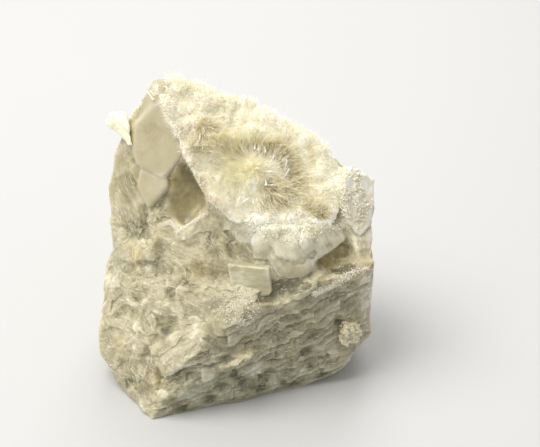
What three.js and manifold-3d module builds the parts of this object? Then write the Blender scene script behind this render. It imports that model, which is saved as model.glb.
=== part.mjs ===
// Aragonite specimen: a fist-sized lump of massive calcite. A crust of needles lies over its tilted top,
// and larger crystals stand in its sides.
// Units are millimetres, +Z is up, +Y points to its back, and the lump rests on its flat base at z = 0.
import * as THREE from "three";
import { ConvexGeometry } from "three/addons/geometries/ConvexGeometry.js";
import { mergeVertices } from "three/addons/utils/BufferGeometryUtils.js";
import Module from "manifold-3d";

const wasm = await Module();
wasm.setup();

// Driving dimensions, in millimetres.
const seatGap = 0.3; // clearance between a crystal and the seat that it grew in
const hollowSides = 12; // sides of the rounded valley in the crust
const crustLean = 0.6; // how far the crust leans back, in radians
const weldDistance = 1e-4; // corners nearer than this are one corner

// ---------------------------------------------------------------- solids from corners

function solidOf(geometry) {
  const bare = geometry.clone();
  bare.deleteAttribute("normal");
  bare.deleteAttribute("uv");
  const merged = mergeVertices(bare, weldDistance);
  return new wasm.Manifold(
    new wasm.Mesh({
      numProp: 3,
      vertProperties: merged.attributes.position.array,
      triVerts: new Uint32Array(merged.index.array),
    }),
  );
}

function hull(corners) {
  return solidOf(new ConvexGeometry(corners.map((c) => new THREE.Vector3(...c))));
}

// Directions to the six faces and the eight corners of a cube, which stand in for a small ball.
const ballDirections = [];
for (const x of [-1, 0, 1])
  for (const y of [-1, 0, 1])
    for (const z of [-1, 0, 1])
      if ([1, 3].includes(Math.abs(x) + Math.abs(y) + Math.abs(z)))
        ballDirections.push(new THREE.Vector3(x, y, z).normalize());

// The seat of a crystal: its hull, with every corner grown by the gap in all directions.
function seat(corners) {
  const grown = corners.flatMap(([x, y, z]) =>
    ballDirections.map((d) => [x + d.x * seatGap, y + d.y * seatGap, z + d.z * seatGap]),
  );
  return hull(grown);
}

// A face that is carried into the lump by a vector, as a cleavage block is.
function block({ face, into: [dx, dy, dz] }) {
  return face.concat(face.map(([x, y, z]) => [x + dx, y + dy, z + dz]));
}

// Corners of a ball that is stretched to its radii and leans back with the crust.
function ballCorners({ at, radii }) {
  const ball = new THREE.SphereGeometry(1, hollowSides, hollowSides / 2);
  ball.scale(...radii);
  ball.rotateX(-crustLean);
  ball.translate(...at);
  const flat = Array.from(ball.attributes.position.array);
  return flat.flatMap((_, i) => (i % 3 === 0 ? [flat.slice(i, i + 3)] : []));
}

const union = (solids) => solids.reduce((whole, solid) => whole.add(solid));
const cut = (whole, tools) => tools.reduce((rest, tool) => rest.subtract(tool), whole);

function meshOf(name, solid, finish) {
  const made = solid.getMesh();
  const geometry = new THREE.BufferGeometry();
  geometry.setAttribute("position", new THREE.BufferAttribute(made.vertProperties, 3));
  geometry.setIndex(new THREE.BufferAttribute(made.triVerts, 1));
  geometry.computeVertexNormals();
  const mesh = new THREE.Mesh(geometry, new THREE.MeshStandardMaterial({ metalness: 0, ...finish }));
  mesh.name = name;
  return mesh;
}

// ---------------------------------------------------------------- the lump

// The foot is the wide lower half. Its front comes to an edge at x = -12, with a bright face to the left
// of it and a layered grey face to the right.
const foot = [
  [-23, -31, 0], [20, -18, 0], [30, 14, 0], [14, 28, 0], [-30, 14, 0], [-33, -19, 0],
  [-11.5, -28.5, 1], [30.5, -6, 1.2], [-15, 28.5, 1.2],
  [-38.5, -12, 9], [-39, -10, 13], [39, -9, 11], [38.5, -9, 16], [31.5, -14.5, 5],
  [35, 12, 10], [22, 27, 12], [-12, 31, 14], [-34, 19, 12],
  [-38, -6, 19], [-34.5, -2.5, 24], [-7, -25, 20], [6, -20.5, 31], [10, -17.5, 34], [38.5, -7, 37],
  [36, 14, 34], [20, 28, 33], [-12, 30.5, 36], [-34, 19, 34], [-19, -12, 30], [-35.5, 8, 33],
];

// The tower is the upper half, which leans back and to the left.
const tower = [
  [-36, 8, 33], [-37, 19, 43], [-34, 22, 54], [-31.5, 24, 61], [-29, 23.5, 67],
  [-22, 25, 74], [-15, 24, 76], [-7, 21.5, 72], [10.5, 21, 66], [18.5, 19, 62], [27, 14.5, 57],
  [38, 10, 50], [38.5, 8, 47], [38.5, 3, 41],
  [-10, 5, 57], [-7.5, 1, 52], [-0.5, -2.5, 47.5], [8, -2, 47], [18, -2.5, 46], [26.5, -4.5, 43],
  [37, -1, 41],
  [-19, -5, 33], [-0.6, -8, 31], [18, -12, 32], [38, -6.5, 34],
  [-16, 31, 60], [12, 30, 52], [28, 25, 42], [35, 16, 34], [-30, 29, 44], [-30, 26, 30], [10, 30, 30],
];

// Cleavage blocks that stand proud of the two halves, from the top down.
const lumpBlocks = {
  leftColumn: {
    face: [
      [-37, 20, 45], [-34.5, 22, 55], [-30, 19.5, 56.5],
      [-27, 14, 50], [-28.5, 8.5, 44], [-35.5, 10.5, 36],
    ],
    into: [5, 7, -2],
  },
  fibrousBlock: {
    face: [
      [-21.5, 2, 41], [-17, 1.5, 44], [-8.5, -0.5, 46.5], [-3, -4.5, 43.5],
      [-1, -9.5, 38.5], [-3, -12, 32], [-13.5, -10, 29.5], [-21, -5.5, 32],
    ],
    into: [3, 11, -4],
  },
  yellowRidge: {
    face: [
      [-34.5, 6, 35], [-27.5, 1.5, 39.5], [-22.5, -2, 40.5],
      [-21.5, -6, 36], [-27, -4, 33.5], [-33, 2, 31.5],
    ],
    into: [4, 8, -5],
  },
  rightCorner: {
    face: [[33, -5, 41.5], [37, -1.5, 39.5], [39, -3, 35.5], [38.5, -6.5, 32.5], [35, -8.5, 35]],
    into: [-7, 8, -3],
  },
  greyLens: {
    face: [
      [28.5, -12.8, 30.5], [32, -11.7, 34], [36.5, -9.2, 35],
      [38.7, -8.5, 31.5], [37.5, -9.8, 28.5], [32.5, -12.3, 29.5],
    ],
    into: [-3, 7, -2],
  },
  tanFacet: {
    face: [[-31, -4, 28.5], [-27, -4.5, 31], [-24.5, -9.5, 29], [-26, -12.5, 25.5], [-31, -9, 24]],
    into: [4, 6, -4],
  },
  layeredLump: {
    face: [
      [-38.5, -7.5, 15], [-34.5, -10, 19.5], [-26.5, -16, 21.5], [-23.5, -20, 18.5],
      [-25.5, -21.5, 13.5], [-32.5, -18, 10], [-38, -11.5, 10],
    ],
    into: [5, 7, -3],
  },
  cleavedPlate: {
    face: [
      [-23, -20.5, 18], [-18.5, -20.5, 21], [-8, -23, 24.5], [-7, -26, 21],
      [-12.5, -27.5, 17.5], [-18.5, -28.5, 11.5], [-22.5, -24.5, 14],
    ],
    into: [4, 8, -5],
  },
  footLedge: {
    face: [
      [-28, -27.5, 2.5], [-19, -28.5, 8.5], [-7.5, -28.5, 13], [4.5, -25.5, 18.5],
      [5, -26, 17], [-7, -29.5, 11], [-18, -30.5, 6], [-26, -29.5, 0.5],
    ],
    into: [3, 8, -0.4],
  },
  backSlab: {
    face: [[-24, 31, 20], [4, 33, 16], [16, 30, 26], [8, 32, 44], [-12, 33.5, 48], [-26, 31, 38]],
    into: [0, -9, 0],
  },
  backStep: {
    face: [[12, 29, 4], [27, 22, 5], [31, 20, 20], [24, 26, 30], [12, 30, 24]],
    into: [-5, -8, 0],
  },
};

// Hollows between the blocks, each given by its own corners.
const lumpHollows = {
  recess: [
    [-14, 6.5, 62], [-9, 2, 59], [-6.5, -3.5, 53], [-13, -4.5, 45.5], [-18.5, 0, 47.5], [-20, 4.5, 53],
    [-14, 10.5, 59.5], [-10, 9, 53], [-8, 4.5, 48], [-13.5, 2, 42.5], [-18, 3.5, 46], [-19.5, 7.5, 50.5],
  ],
  groove: [
    [-27, 7.5, 47.5], [-23, 5, 50], [-22, -2.5, 38], [-26, -1, 36], [-25.5, 8, 43.5], [-24, 2.5, 37],
  ],
  oliveCavity: [
    [21, -15, 36.5], [22.5, -11, 42], [26, -8, 46], [33, -6.5, 44.5], [35, -10, 37], [28, -14, 34.5],
    [24, -3.8, 43], [31.5, -2, 42], [24, -3.5, 35], [31.5, -1, 35.5], [27, -7, 33.5],
  ],
  cave: [
    [3.5, -19.5, 34], [11, -16.5, 36], [16, -15.5, 38], [18.5, -17.5, 36], [14.5, -19, 33], [7, -21, 31.5],
    [8.5, -11, 29.5], [15.5, -10.5, 31.5],
  ],
  plateShadow: [
    [-26, -21, 16], [-22, -24.5, 15], [-18, -29.5, 11], [-23, -29, 9.5], [-26, -25, 12],
    [-25, -18.5, 11], [-22, -21.5, 8.5],
  ],
  knobPocket: [
    [27, -16, 24], [30.5, -15.5, 25], [36, -14, 23], [37, -14, 13], [33.5, -15.5, 12], [28, -16.5, 16],
    [29, -10.5, 18.5], [34.5, -8.5, 17.5], [34.5, -8.5, 13], [31, -10, 13],
  ],
  rightNotch: [[42, -9, 38], [42, 6, 41], [42, 5, 44], [42, -8, 41.5], [36.5, -4.5, 40], [36, 3, 41.8]],
  backCorner: [[-40, 22, 50], [-24, 36, 66], [-44, 36, 40], [-40, 36, 80], [-27, 31, 46], [-33, 26, 46]],
  cornerChip: [
    [-36, -24, -2], [-26, -36, -2], [-36, -34, -2], [-33, -25.5, 8], [-29, -30.5, 4], [-38, -34, 8],
  ],
};

// ---------------------------------------------------------------- the crust of needles

// The crust hangs over the recess on its left, and ends in a lip above the front crystals.
const crustCorners = [
  [-22, 22, 75.5], [-20, 25, 77], [-15.5, 24, 77.5], [-7.5, 21, 74], [1, 20, 71], [10.5, 20.5, 68.5],
  [18.5, 18.5, 64.5], [27, 14, 59.5], [31.5, 10.5, 55.5],
  [-17.5, 16, 73.5], [-17, 12, 69.3], [-14, 7, 64.3], [-10.3, 2.3, 59], [-8, -1, 55.5], [-3, -4, 50.5],
  [2, -5.5, 48], [9, -4.5, 48], [18, -4, 47.5], [26, -3, 46], [29.5, 2, 49],
  [-5, 12, 58], [10, 9, 52], [24, 8, 49], [2, 3, 47.5], [-12, 20, 66],
];

// The valley of olive needles, from the small hollow at the upper left to the one beside the shoulder.
// Each stretch of it joins one ball to the next.
const valleyBalls = [
  { at: [-6.5, 15.4, 73], radii: [3.5, 3.5, 3.6] },
  { at: [-3.5, 13.6, 71.2], radii: [3.5, 3.5, 4] },
  { at: [3.5, 11.6, 68.4], radii: [4.5, 3.6, 4.4] },
  { at: [11, 9.6, 65], radii: [5, 4.4, 5.2] },
  { at: [17, 6.5, 61.4], radii: [5.5, 5.5, 6] },
  { at: [18, 1.5, 56.5], radii: [6, 5, 5.4] },
  { at: [23, -0.5, 51.6], radii: [3, 2.6, 2.6] },
];

// ---------------------------------------------------------------- the larger crystals

// A crystal body is a flat outer face and what lies behind it. The outline is in millimetres along and
// across the face from its origin, and the face goes straight into the lump by a vector.
function crystalBody({ origin, along, across, outline, into, extra = [] }) {
  const face = outline.map(([s, t]) => origin.map((start, i) => start + s * along[i] + t * across[i]));
  return [...block({ face, into }), ...extra];
}

// The glassy crystal's outer face looks to the front left, and its bevel follows its upper left edge.
const glassyFace = { along: [0.53, 0.2, 0.82], across: [0.72, -0.63, -0.3], into: [3, 5, -3.5] };

// Each crystal is one or more convex bodies that grew together.
const crystals = {
  glassy_crystal: {
    finish: { color: 0xc9c2a4, roughness: 0.25 },
    bodies: [
      crystalBody({
        ...glassyFace,
        origin: [-27.5, 18, 64],
        outline: [[0, 0], [17, 0], [15.2, 2.8], [11.5, 6.6], [6.2, 13], [2.8, 16.2], [-5.7, 15], [-7.8, 6]],
        extra: [[-31.3, 24.6, 61], [-22.3, 27, 75]],
      }),
      crystalBody({
        ...glassyFace,
        origin: [-27.2, 18.5, 63.7],
        outline: [[-7, 6.6], [-5, 15], [-7, 17.2], [-15.4, 15.9], [-13, 9.5]],
      }),
    ],
  },
  milky_crystal: {
    finish: { color: 0xd9d4c4, roughness: 0.35 },
    grewAround: ["cleavage_rhomb"],
    bodies: [
      crystalBody({
        origin: [5, -5, 47],
        along: [0.98, -0.2, 0.04],
        across: [0, -0.41, -0.91],
        outline: [[0, 0], [7.6, 0], [7.6, 8.6], [0.3, 9]],
        into: [0.8, 6, -3],
      }),
      [
        [11, -6, 46.5], [15, -5.5, 47], [19.5, -5, 46.5], [22, -6, 43], [20.5, -9.5, 40.5], [16.5, -11, 40],
        [12, -10.5, 41], [12, 0, 43], [21, 0, 42], [16, -3, 37],
      ],
      [
        [9.5, -9.5, 40.5], [18, -10, 40.5], [23, -7.5, 41], [22, -10.5, 37], [19.5, -12, 35],
        [11.5, -12.5, 35.5],
        [10.5, -3, 36], [21, -3, 36], [20, -6, 32.5], [11.5, -6, 33],
      ],
      [
        [18.5, -9, 44], [19.5, -5, 47.2], [24, -3.8, 46.8], [28.7, -2.4, 44.8], [30.6, -3.6, 41.8],
        [27, -6, 39.8], [23.5, -8, 38.4], [20.5, -9.8, 38.6],
        [20, 0, 44], [28, 2, 44], [29.5, 0.5, 41.5], [24, -1, 38.5],
      ],
    ],
  },
  cleavage_rhomb: {
    finish: { color: 0xcfcbab, roughness: 0.3 },
    bodies: [
      crystalBody({
        origin: [-1.5, -10, 37.8],
        along: [0.98, -0.2, 0.03],
        across: [0.1, -0.5, -0.86],
        outline: [[0, 0], [11.2, 0], [11.4, 6.2], [10.6, 7.4], [5.4, 8.6], [0.6, 8.4]],
        into: [1.2, 5.5, -1.4],
      }),
    ],
  },
  shoulder_crystal: {
    finish: { color: 0xd5cfc4, roughness: 0.3 },
    bodies: [
      crystalBody({
        origin: [32.1, 9.6, 57],
        along: [0.83, 0.1, -0.55],
        across: [-0.1, -0.68, -0.72],
        outline: [[0, 0], [8.5, 0], [8.9, 7], [8.7, 12.5], [5.5, 17.5], [1, 15], [-1.5, 7]],
        into: [-2.8, 4.2, -3.6],
      }),
    ],
  },
  cream_blade: {
    finish: { color: 0xf1e9bd, roughness: 0.45 },
    grewAround: ["glassy_crystal"],
    bodies: [
      [
        [-36, 23, 64.5], [-34.8, 22.8, 66.3], [-31.3, 21.8, 66.8], [-29.8, 20, 65.2], [-28.4, 15.8, 59.8],
        [-29.8, 16.8, 59.6], [-33.2, 20.6, 61.8], [-35.8, 22.6, 63.5],
        [-34.5, 25.2, 64], [-31, 24.5, 65.5], [-29.5, 19.5, 59.5],
      ],
    ],
  },
  sugar_knob: {
    finish: { color: 0xded7b2, roughness: 0.6 },
    bodies: [
      [
        [29.5, -14, 17.5], [31, -13.7, 19.5], [34.5, -12.3, 18.8], [36, -11.5, 15.5], [35, -13.5, 13],
        [31.5, -15, 13.5], [29.5, -15, 15.5], [31, -8, 18], [34.5, -7, 17], [35, -7.5, 14], [31, -8, 14],
      ],
    ],
  },
};

// ---------------------------------------------------------------- the specimen

const seatsOf = (names) => names.flatMap((name) => crystals[name].bodies.map(seat));
const crystalSeats = seatsOf(Object.keys(crystals));

const matrixSolid = cut(union([foot, tower, ...Object.values(lumpBlocks).map(block)].map(hull)), [
  ...Object.values(lumpHollows).map(hull),
  seat(crustCorners),
  ...crystalSeats,
]);
const valley = valleyBalls
  .slice(1)
  .map((ball, i) => hull([...ballCorners(valleyBalls[i]), ...ballCorners(ball)]));
const crustSolid = cut(hull(crustCorners), [...valley, ...crystalSeats]);

const specimen = new THREE.Group();
specimen.add(meshOf("matrix", matrixSolid, { color: 0xb8b09a, roughness: 0.6 }));
specimen.add(meshOf("needle_druse", crustSolid, { color: 0xefe6c4, roughness: 0.7 }));
for (const [name, { bodies, finish, grewAround = [] }] of Object.entries(crystals))
  specimen.add(meshOf(name, cut(union(bodies.map(hull)), seatsOf(grewAround)), finish));

// The origin is under the middle of the specimen's box.
const middle = new THREE.Box3().setFromObject(specimen, true).getCenter(new THREE.Vector3());
specimen.position.set(-middle.x, -middle.y, 0);
specimen.updateMatrixWorld(true);

export default specimen;
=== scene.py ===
import math
import bmesh
import bpy
import numpy as np
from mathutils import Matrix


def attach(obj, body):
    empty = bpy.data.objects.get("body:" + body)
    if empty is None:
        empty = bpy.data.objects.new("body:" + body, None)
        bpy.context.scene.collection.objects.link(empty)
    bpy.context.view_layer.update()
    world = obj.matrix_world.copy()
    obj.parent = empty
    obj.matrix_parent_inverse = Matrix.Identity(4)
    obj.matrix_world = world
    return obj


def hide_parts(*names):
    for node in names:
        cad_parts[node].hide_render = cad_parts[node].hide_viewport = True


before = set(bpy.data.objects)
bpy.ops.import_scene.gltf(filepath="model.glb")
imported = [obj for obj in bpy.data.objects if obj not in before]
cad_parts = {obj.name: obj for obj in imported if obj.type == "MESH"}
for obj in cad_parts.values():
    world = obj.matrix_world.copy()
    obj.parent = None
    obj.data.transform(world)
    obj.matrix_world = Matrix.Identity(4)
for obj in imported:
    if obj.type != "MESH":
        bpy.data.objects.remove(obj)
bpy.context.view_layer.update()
mm = 0.001
print("frame loaded:", ", ".join(sorted(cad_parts)))


# camera, floor and light

view = {
    "lookAt": (9.9, 13.75, 34.1),  # mm, the point in the middle of the picture
    "distance": 400.0,  # mm
    "elevation": 35.0,  # degrees above the floor, looking along +Y
    "widthThere": 156.6,  # mm across the picture at the point looked at
    "sensor": 36.0,  # mm
    "clip": (0.01, 50),  # m
}
studio = {
    "floorSize": 6.0,  # m
    "floorColour": (0.50, 0.50, 0.495),
    "world": (0.97, 0.97, 0.97),
    "worldStrength": 0.62,
    "lamps": [
        # place in mm, size in mm, watts, colour
        ((-420, 20, 900), 700, 10.8, (1.0, 0.985, 0.95)),
        ((60, 700, 700), 500, 3.8, (1.0, 0.98, 0.96)),
    ],
    "aim": (0, 0, 35.0),  # mm, where the lamps look
    "bounces": 12,  # light goes from needle to needle many times
}


def addCamera():
    tilt = math.radians(view["elevation"])
    x, y, z = view["lookAt"]
    lens = bpy.data.cameras.new("camera")
    lens.sensor_width = view["sensor"]
    lens.lens = view["sensor"] * view["distance"] / view["widthThere"]
    lens.clip_start, lens.clip_end = view["clip"]
    camera = bpy.data.objects.new("camera", lens)
    camera.location = (
        x * mm,
        (y - view["distance"] * math.cos(tilt)) * mm,
        (z + view["distance"] * math.sin(tilt)) * mm,
    )
    camera.rotation_euler = (math.pi / 2 - tilt, 0, 0)
    bpy.context.scene.collection.objects.link(camera)
    bpy.context.scene.camera = camera


def addLight():
    world = bpy.data.worlds.new("studio")
    world.use_nodes = True
    sky = world.node_tree.nodes["Background"]
    sky.inputs["Color"].default_value = (*studio["world"], 1)
    sky.inputs["Strength"].default_value = studio["worldStrength"]
    bpy.context.scene.world = world
    for number, (place, size, watts, colour) in enumerate(studio["lamps"]):
        lamp = bpy.data.lights.new(f"lamp{number}", "AREA")
        lamp.size = size * mm
        lamp.energy = watts
        lamp.color = colour
        holder = bpy.data.objects.new(f"lamp{number}", lamp)
        holder.location = np.array(place) * mm
        x, y, z = np.subtract(place, studio["aim"])
        holder.rotation_euler = (math.atan2(math.hypot(x, y), z), 0, math.atan2(x, -y))
        bpy.context.scene.collection.objects.link(holder)
    bpy.context.scene.view_settings.view_transform = "Standard"
    bpy.context.scene.cycles.diffuse_bounces = studio["bounces"]
    bpy.context.scene.cycles.max_bounces = studio["bounces"] + 4


def addFloor():
    half = studio["floorSize"] / 2
    corners = [(-half, -half, 0), (half, -half, 0), (half, half, 0), (-half, half, 0)]
    mesh = bpy.data.meshes.new("floor")
    mesh.from_pydata(corners, [], [(0, 1, 2, 3)])
    finish = Finish("palePaper", Roughness=0.6, Base_Color=(*studio["floorColour"], 1))
    mesh.materials.append(finish.material)
    floor = show("floor", mesh)


# shader maths: a Value wraps a socket, so an expression on values adds its Math nodes


class Value:
    def __init__(self, finish, socket):
        self.finish, self.socket = finish, socket

    def join(self, operation, first, second=0.0):
        return self.finish.node("ShaderNodeMath", {"operation": operation}, {0: first, 1: second})

    def __add__(self, other):
        return self.join("ADD", self, other)

    def __sub__(self, other):
        return self.join("SUBTRACT", self, other)

    def __rsub__(self, other):
        return self.join("SUBTRACT", other, self)

    def __mul__(self, other):
        return self.join("MULTIPLY", self, other)

    __radd__ = __add__
    __rmul__ = __mul__

    def size(self):  # without its sign
        return self.join("ABSOLUTE", self)

    def between(self, low, high):  # 0 at low, 1 at high, smooth in between
        settings = {"interpolation_type": "SMOOTHSTEP"}
        return self.finish.node("ShaderNodeMapRange", settings, {0: self, 1: low, 2: high})


class Finish:
    def __init__(self, name, **constants):
        self.material = bpy.data.materials.new(name)
        self.material.use_nodes = True
        self.tree = self.material.node_tree
        self.shader = self.tree.nodes["Principled BSDF"]
        for socket, value in constants.items():
            self.shader.inputs[socket.replace("_", " ")].default_value = value
        self.place = self.node("ShaderNodeTexCoord", {}, {}, "Object")

    def node(self, kind, settings, inputs, out=0):
        made = self.tree.nodes.new(kind)
        for name, setting in settings.items():
            setattr(made, name, setting)
        for name, given in inputs.items():
            if isinstance(given, Value):
                self.tree.links.new(given.socket, made.inputs[name])
            else:
                made.inputs[name].default_value = given
        return Value(self, made.outputs[out])

    def noise(self, size, detail, roughness=0.6, where=None):
        # size is the width of one patch, in mm, or in strands where the place is counted in strands
        put = {"Vector": where or self.place, "Scale": 1 / (size * mm), "Detail": detail}
        return self.node("ShaderNodeTexNoise", {}, {**put, "Roughness": roughness})

    def mask(self, name, out="Fac"):
        return self.node("ShaderNodeAttribute", {"attribute_name": name}, {}, out)

    def mix(self, share, first, second, blend="MIX"):
        first, second = (c if isinstance(c, Value) else (*c, 1) for c in (first, second))
        put = {0: share, 6: first, 7: second}
        return self.node("ShaderNodeMix", {"data_type": "RGBA", "blend_type": blend}, put, 2)

    def tint(self, share, first, second):  # first times second, by share
        return self.mix(share, first, second, "MULTIPLY")

    def ramp(self, tone, first, *steps):  # from the first colour to the next ones, each between its tones
        for low, high, colour in steps:
            first = self.mix(tone.between(low, high), first, colour)
        return first

    def feed(self, socket, value):
        self.tree.links.new(value.socket, self.shader.inputs[socket])

    def letThrough(self, share, colour):  # part of the light that falls behind the surface shows in front
        shaded = self.node("ShaderNodeBsdfTranslucent", {}, {"Color": (*colour, 1)})
        whole = Value(self, self.shader.outputs[0])
        mixed = self.node("ShaderNodeMixShader", {}, {0: share, 1: whole, 2: shaded})
        self.tree.links.new(mixed.socket, self.tree.nodes["Material Output"].inputs["Surface"])

    def bump(self, height, depth):  # depth in mm
        self.feed("Normal", self.node("ShaderNodeBump", {}, {"Height": height, "Distance": depth * mm}))


# patterns in space, worked out for whole arrays of points in mm

def hashed(cell, seed):  # whole-number cells to even random numbers from 0 to 1
    c = cell.astype(np.int64)
    h = c[..., 0] * 73856093 ^ c[..., 1] * 19349663 ^ c[..., 2] * 83492791
    h = h ^ (seed * 668265263 + 374761393)
    h = (h ^ (h >> 13)) * 1274126177 & 0x7FFFFFFF
    h = (h ^ (h >> 15)) * 2246822519 & 0x7FFFFFFF
    return ((h ^ (h >> 16)) & 0xFFFFFF) / float(0xFFFFFF)


def hashedThree(cell, seed):
    return np.stack([hashed(cell, seed + k) for k in range(3)], axis=1)


def valueNoise(points, size, seed):
    # random numbers at the corners of a grid, blended smoothly between them, from -1 to 1
    q = points / size
    low = np.floor(q)
    t = q - low
    t = t * t * (3 - 2 * t)
    total = np.zeros(len(q))
    for corner in np.ndindex(2, 2, 2):
        share = np.prod(np.where(corner, t, 1 - t), axis=1)
        total += share * hashed(low + corner, seed)
    return total * 2 - 1


def fractal(points, size, seed, octaves=3, fall=0.5):
    return sum(valueNoise(points, size / 2**k, seed + k) * fall**k for k in range(octaves))


def vectorNoise(points, size, seed):
    return np.stack([valueNoise(points, size, seed + 11 * k) for k in range(3)], axis=1)


def nearestCells(points, size, seed, skew=np.eye(3), boxed=False):
    # each cell of a grid holds one random spot; for each point: how far the nearest spot is, how much
    # farther the second is, the cell of the nearest, and the way from it. A boxed distance, the largest
    # of the three steps, gives cells with flat sides.
    stray = 0.8  # how far a spot may be from the middle of its cell, as a share of the cell
    q = points @ skew.T / size
    home = np.floor(q)
    best = np.full(len(q), 9e9)
    second = np.full(len(q), 9e9)
    owner = np.zeros((len(q), 3))
    away = np.zeros((len(q), 3))
    for step in np.ndindex(3, 3, 3):
        cell = home + np.array(step) - 1
        gap = q - cell - 0.5 - (hashedThree(cell, seed) - 0.5) * stray
        far = np.abs(gap).max(1) if boxed else np.linalg.norm(gap, axis=1)
        nearer = far < best
        second = np.where(nearer, best, np.minimum(second, far))
        best = np.where(nearer, far, best)
        owner[nearer] = cell[nearer]
        away[nearer] = gap[nearer]
    return best, second - best, owner, away


def smooth(x, low, high):
    t = np.clip((x - low) / (high - low), 0, 1)
    return t * t * (3 - 2 * t)


def turned(seed):  # a random turn, as three unit vectors at right angles
    q = np.random.default_rng(seed).normal(size=(3, 3))
    return np.linalg.qr(q)[0]


def cleaved(points, size, lean, seed, grain, skew):
    # every cell of the stone ends in a flat face that leans a little: lift = gap from its spot . lean.
    # Cells of one grain lean nearly the same way, as cleavage faces do, and each has its own height.
    _, _, grains, _ = nearestCells(points, grain, seed + 50)
    _, _, owner, away = nearestCells(points, size, seed, skew, boxed=True)
    own = 0.45  # how much of its lean is the cell's own
    way = unit(hashedThree(grains, seed + 60) - 0.5 + own * (hashedThree(owner, seed + 70) - 0.5))
    step = hashed(owner, seed + 99) - 0.5
    return size * lean * ((away * way).sum(1) + 0.7 * step)


# meshes


def show(name, mesh):
    piece = bpy.data.objects.new(name, mesh)
    bpy.context.scene.collection.objects.link(piece)
    return piece


def settled(piece):  # the piece's modifiers become its mesh
    graph = bpy.context.evaluated_depsgraph_get()
    mesh = bpy.data.meshes.new_from_object(piece.evaluated_get(graph))
    piece.modifiers.clear()
    piece.data = mesh
    return piece


def mergedCopy(node, name):
    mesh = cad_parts[node].data.copy()
    mesh.materials.clear()
    shell = bmesh.new()
    shell.from_mesh(mesh)
    bmesh.ops.remove_doubles(shell, verts=shell.verts, dist=1e-7)
    shell.to_mesh(mesh)
    shell.free()
    return show(name, mesh)


def remeshed(piece, voxel):
    remesh = piece.modifiers.new("even", "REMESH")
    remesh.mode = "VOXEL"
    remesh.voxel_size = voxel * mm
    return settled(piece)


def joined(piece, others):  # the other pieces' faces go into the first one's mesh, and they are deleted
    shell = bmesh.new()
    for part in [piece, *others]:
        shell.from_mesh(part.data)
    shell.to_mesh(piece.data)
    shell.free()
    for part in others:
        bpy.data.objects.remove(part)


def rowsOf(items, name, width, kind):  # one row of numbers for each item
    values = np.empty(len(items) * width, kind)
    items.foreach_get(name, values)
    return values.reshape(-1, width)


def pointsOf(mesh):  # places in mm, and outward normals
    places, normals = (rowsOf(mesh.vertices, name, 3, np.float32) for name in ("co", "normal"))
    return places.astype(float) / mm, normals.astype(float)


def inMetres(places):
    return (places * mm).astype(np.float32).ravel()


def setPoints(mesh, places):
    mesh.vertices.foreach_set("co", inMetres(places))
    mesh.update()


def softened(mesh, values, rounds):  # each value moves to the mean of its neighbours'
    a, b = rowsOf(mesh.edges, "vertices", 2, np.int32).T
    count = np.bincount(a, minlength=len(values)) + np.bincount(b, minlength=len(values)) + 1e-9
    for _ in range(rounds):
        sums = [np.bincount(a, v[b], len(v)) + np.bincount(b, v[a], len(v)) for v in values.T]
        values = np.stack(sums, axis=1) / count[:, None]
    return values


def standing(mesh, places, normals, rounds):  # how far each point stands out of the mean round it
    return ((places - softened(mesh, places, rounds)) * normals).sum(1)


def unit(vectors):
    vectors = np.asarray(vectors, float)
    return vectors / (np.linalg.norm(vectors, axis=-1, keepdims=True) + 1e-12)


def levelled(vectors, normals):  # what lies along the surface: v - (v . n) n
    return vectors - (vectors * normals).sum(1, keepdims=True) * normals


def paint(mesh, name, values):  # a mask from 0 to 1
    layer = mesh.attributes.new(name, "FLOAT", "POINT")
    layer.data.foreach_set("value", np.clip(values, 0, 1).astype(np.float32))


def paintFlow(mesh, places):  # places counted in strands, a thousandth as large, as millimetres are
    layer = mesh.attributes.new("flow", "FLOAT_VECTOR", "POINT")
    layer.data.foreach_set("vector", inMetres(places))


def blob(points, centre, radii, soft=0.6):  # 1 inside an ellipsoid, falling to 0 at its edge
    return 1 - smooth(np.linalg.norm((points - centre) / np.array(radii), axis=1), 1 - soft, 1)


def blobs(points, places, soft=0.7):  # the sum of many: each adds its amount at its own place
    return sum(much * blob(points, centre, radii, soft) for centre, radii, much in places)


def trianglesOf(piece):
    return sum(len(face.vertices) - 2 for face in piece.data.polygons)


def thinned(piece, triangles):
    count = trianglesOf(piece)
    if count > triangles:
        fewer = piece.modifiers.new("fewer", "DECIMATE")
        fewer.ratio = triangles / count
        fewer.use_collapse_triangulate = True
        settled(piece)


def finishPiece(piece, finish, slot, *replaced, sharp=35.0):
    # edges that turn more than `sharp` degrees stay crisp; at 0 every face is flat
    piece.data.materials.clear()
    piece.data.materials.append(finish.material)
    piece.data.polygons.foreach_set("use_smooth", [True] * len(piece.data.polygons))
    piece.data.set_sharp_from_angle(angle=math.radians(sharp))
    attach(piece, "root")
    if replaced:
        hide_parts(*replaced)
    print(f"{piece.name}: {trianglesOf(piece)} triangles")


# scattering: random places on a mesh, and small closed shapes as whole arrays


def scattered(mesh, count, weigh, seed):
    # random places on the triangles, as often as area * weight, with the normals there
    random = np.random.default_rng(seed)
    mesh.calc_loop_triangles()
    corners = rowsOf(mesh.loop_triangles, "vertices", 3, np.int32)
    places, normals = pointsOf(mesh)
    a, b, c = places[corners].transpose(1, 0, 2)
    area = np.linalg.norm(np.cross(b - a, c - a), axis=1)
    chance = area * weigh((a + b + c) / 3, unit(normals[corners].mean(1)))
    pick = random.choice(len(area), count, p=chance / chance.sum())
    u, v = random.random((2, count, 1))
    u, v = np.where(u + v > 1, 1 - u, u), np.where(u + v > 1, 1 - v, v)
    at = a[pick] * (1 - u - v) + b[pick] * u + c[pick] * v
    return at, unit(normals[corners[pick]].mean(1))


def drawn(random, span, count, power=1.0):  # random amounts in a span; a high power keeps them low
    low, high = span
    return low + (high - low) * random.random(count) ** power


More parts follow.
